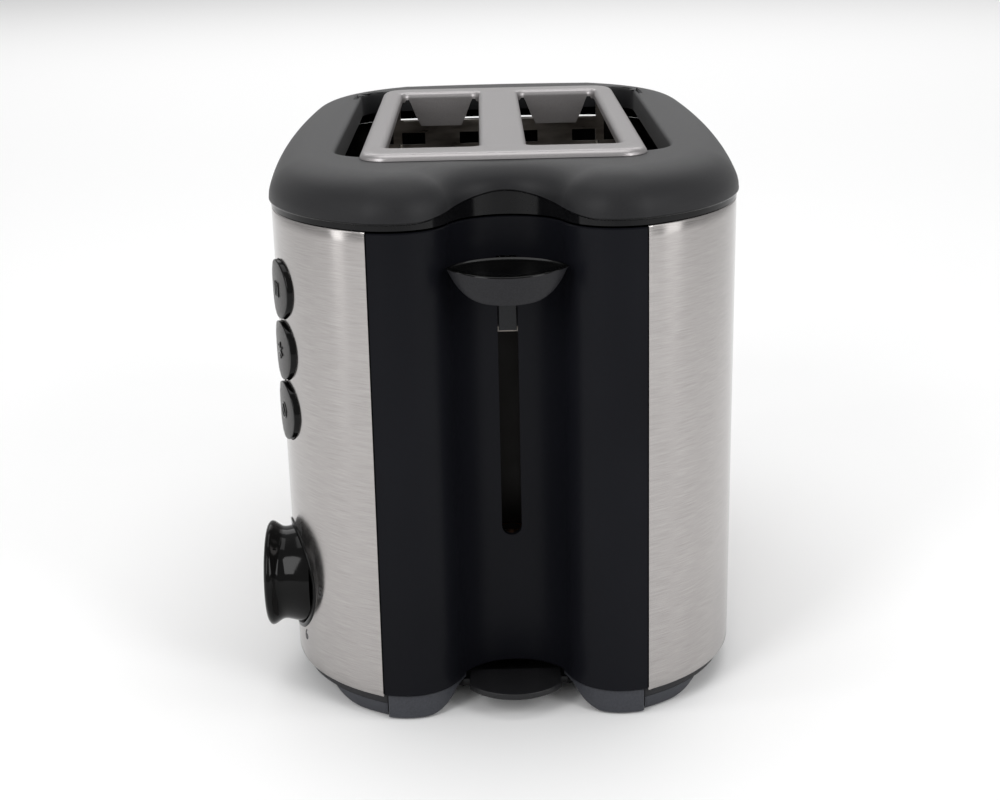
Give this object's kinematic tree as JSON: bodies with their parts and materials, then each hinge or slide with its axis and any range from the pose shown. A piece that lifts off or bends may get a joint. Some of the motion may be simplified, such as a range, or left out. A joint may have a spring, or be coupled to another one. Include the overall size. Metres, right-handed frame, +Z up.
{
  "type": "pop-up toaster",
  "caption": "Pop-up toaster with brushed steel sides, a crowned black collar, bread slots, a lever channel, push buttons, a browning dial and a pull-out crumb tray.",
  "frame": {"origin": "on the standing plane, under the middle of the body", "axes": "+Z up, -Y the lever end, -X the side with the buttons and dial"},
  "size_m": [0.1751, 0.2778, 0.1935],
  "materials": {
    "brushed_steel": "horizontal brushed grain, satin",
    "satin_black": "satin moulded black",
    "matte_black": "matte moulded black",
    "collar_black": "fine matte with a soft sheen",
    "gloss_black": "polished black",
    "button_black": "satin face, glossy side",
    "foot_grey": "matte dark blue-grey",
    "tray_black": "matte black",
    "warm_grey_metal": "fine satin blasted metal",
    "zinc_steel": "bare zinc-plated sheet",
    "bright_wire": "bright wire",
    "resistance_wire": "dull resistance ribbon",
    "mica": "mottled mica",
    "grey_plastic": "dark grey moulded",
    "ivory_plastic": "ivory moulded",
    "copper_winding": "varnished copper",
    "board_green": "board lacquer",
    "rubber": "matte rubber"
  },
  "bodies": {
    "housing": {"steel_wrap_left": "brushed_steel", "steel_wrap_right": "brushed_steel", "front_panel": "satin_black", "rear_panel": "satin_black", "cord_gland": "matte_black", "top_collar": "collar_black", "slot_plate": "warm_grey_metal", "base_pan": "matte_black", "front_skirt": "foot_grey", "rear_skirt": "foot_grey", "corner_foot_front_left": "foot_grey", "corner_foot_front_right": "foot_grey", "corner_foot_rear_left": "foot_grey", "corner_foot_rear_right": "foot_grey", "rubber_pads": "rubber", "base_screws": "zinc_steel", "chassis_plate_front": "zinc_steel", "chassis_plate_rear": "zinc_steel", "heat_shield_left": "zinc_steel", "heat_shield_right": "zinc_steel", "crumb_chutes": "zinc_steel", "mica_card_left_outer": "mica", "mica_card_left_inner": "mica", "mica_card_right_inner": "mica", "mica_card_right_outer": "mica", "heating_ribbon_left_outer": "resistance_wire", "heating_ribbon_left_inner": "resistance_wire", "heating_ribbon_right_inner": "resistance_wire", "heating_ribbon_right_outer": "resistance_wire", "mechanism_shelves": "zinc_steel", "guide_rods": "bright_wire", "return_spring": "bright_wire", "magnet_core": "zinc_steel", "magnet_coil": "copper_winding", "control_board": "board_green", "browning_control": "grey_plastic", "button_switches": "matte_black", "board_parts": "matte_black", "main_switch": "ivory_plastic", "terminal_block": "ivory_plastic", "dial_ring": "gloss_black"},
    "lever": {"lever_knob": "gloss_black", "lever_stem": "grey_plastic", "lever_carriage": "grey_plastic", "carriage_bracket": "zinc_steel", "armature_plate": "zinc_steel", "bread_rack_left": "bright_wire", "bread_rack_right": "bright_wire"},
    "guides_to_right": {"bread_guide_left_outer": "bright_wire", "bread_guide_right_inner": "bright_wire"},
    "guides_to_left": {"bread_guide_left_inner": "bright_wire", "bread_guide_right_outer": "bright_wire"},
    "top_button": {"button_top": "button_black"},
    "middle_button": {"button_middle": "button_black"},
    "lower_button": {"button_lower": "button_black"},
    "dial": {"browning_knob": "gloss_black"},
    "tray": {"crumb_tray": "tray_black"}
  },
  "joints": [
    {"name": "lever_slide", "type": "slide", "parent": "housing", "child": "lever", "axis": [0, 0, -1], "range_m": [0, 0.072], "stiffness_N_per_m": 60, "springref_m": -0.06, "deforming": ["return_spring"]},
    {"name": "guides_close_right", "type": "slide", "parent": "housing", "child": "guides_to_right", "axis": [1, 0, 0], "range_m": [0, 0.006]},
    {"name": "guides_close_left", "type": "slide", "parent": "housing", "child": "guides_to_left", "axis": [-1, 0, 0], "range_m": [0, 0.006]},
    {"name": "top_button_press", "type": "slide", "parent": "housing", "child": "top_button", "axis": [1, 0, 0], "range_m": [0, 0.0022], "stiffness_N_per_m": 250, "springref_m": -0.0012},
    {"name": "middle_button_press", "type": "slide", "parent": "housing", "child": "middle_button", "axis": [1, 0, 0], "range_m": [0, 0.0022], "stiffness_N_per_m": 250, "springref_m": -0.0012},
    {"name": "lower_button_press", "type": "slide", "parent": "housing", "child": "lower_button", "axis": [1, 0, 0], "range_m": [0, 0.0022], "stiffness_N_per_m": 250, "springref_m": -0.0012},
    {"name": "browning_dial_turn", "type": "hinge", "parent": "housing", "child": "dial", "pos_m": [-0.08, -0.0909, 0.0395], "axis": [1, 0, 0], "range_deg": [0, 300]},
    {"name": "tray_slide", "type": "slide", "parent": "housing", "child": "tray", "axis": [0, -1, 0], "range_m": [0, 0.2]}
  ],
  "couplings": [
    {"joint": "guides_close_right", "follows": "lever_slide", "ratio": 0.08},
    {"joint": "guides_close_left", "follows": "lever_slide", "ratio": 0.08}
  ]
}
